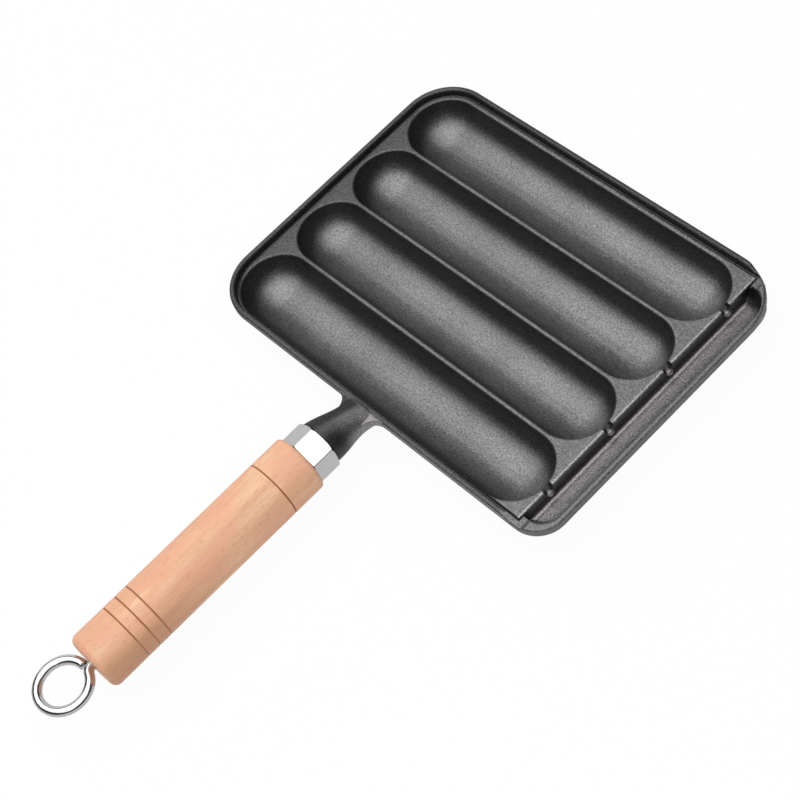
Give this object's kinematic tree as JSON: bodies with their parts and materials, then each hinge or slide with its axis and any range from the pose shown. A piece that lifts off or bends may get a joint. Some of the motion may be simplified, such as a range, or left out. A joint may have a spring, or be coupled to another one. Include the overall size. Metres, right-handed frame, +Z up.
{
  "type": "sausage grill pan",
  "caption": "Rectangular cast iron pan with long round-ended grooves for sausages, a drip trough along one side, and a wooden handle held by a screw-in hanging eye.",
  "frame": {"origin": "middle of the whole part's footprint, handle and hanging eye included, at the height of the flats that the pan stands on", "axes": "+X along the grooves towards the drip trough, +Y from the handle across the pan, +Z up out of the grooves"},
  "size_m": [0.2084, 0.3339, 0.0346],
  "materials": {
    "cast_iron": "matte, fine grained casting, seasoned",
    "chrome": "bright chrome plated",
    "beech": "turned and sanded, thin clear varnish"
  },
  "bodies": {
    "pan": {"pan_body": "cast_iron", "hex_ferrule": "chrome", "wooden_handle": "beech"},
    "rod": {"eye_rod": "chrome"}
  },
  "joints": [
    {"name": "eye_rod_turn", "type": "hinge", "parent": "pan", "child": "rod", "pos_m": [-0.0021, -0.13945, 0.021], "axis": [0, 1, 0], "continuous": true}
  ]
}
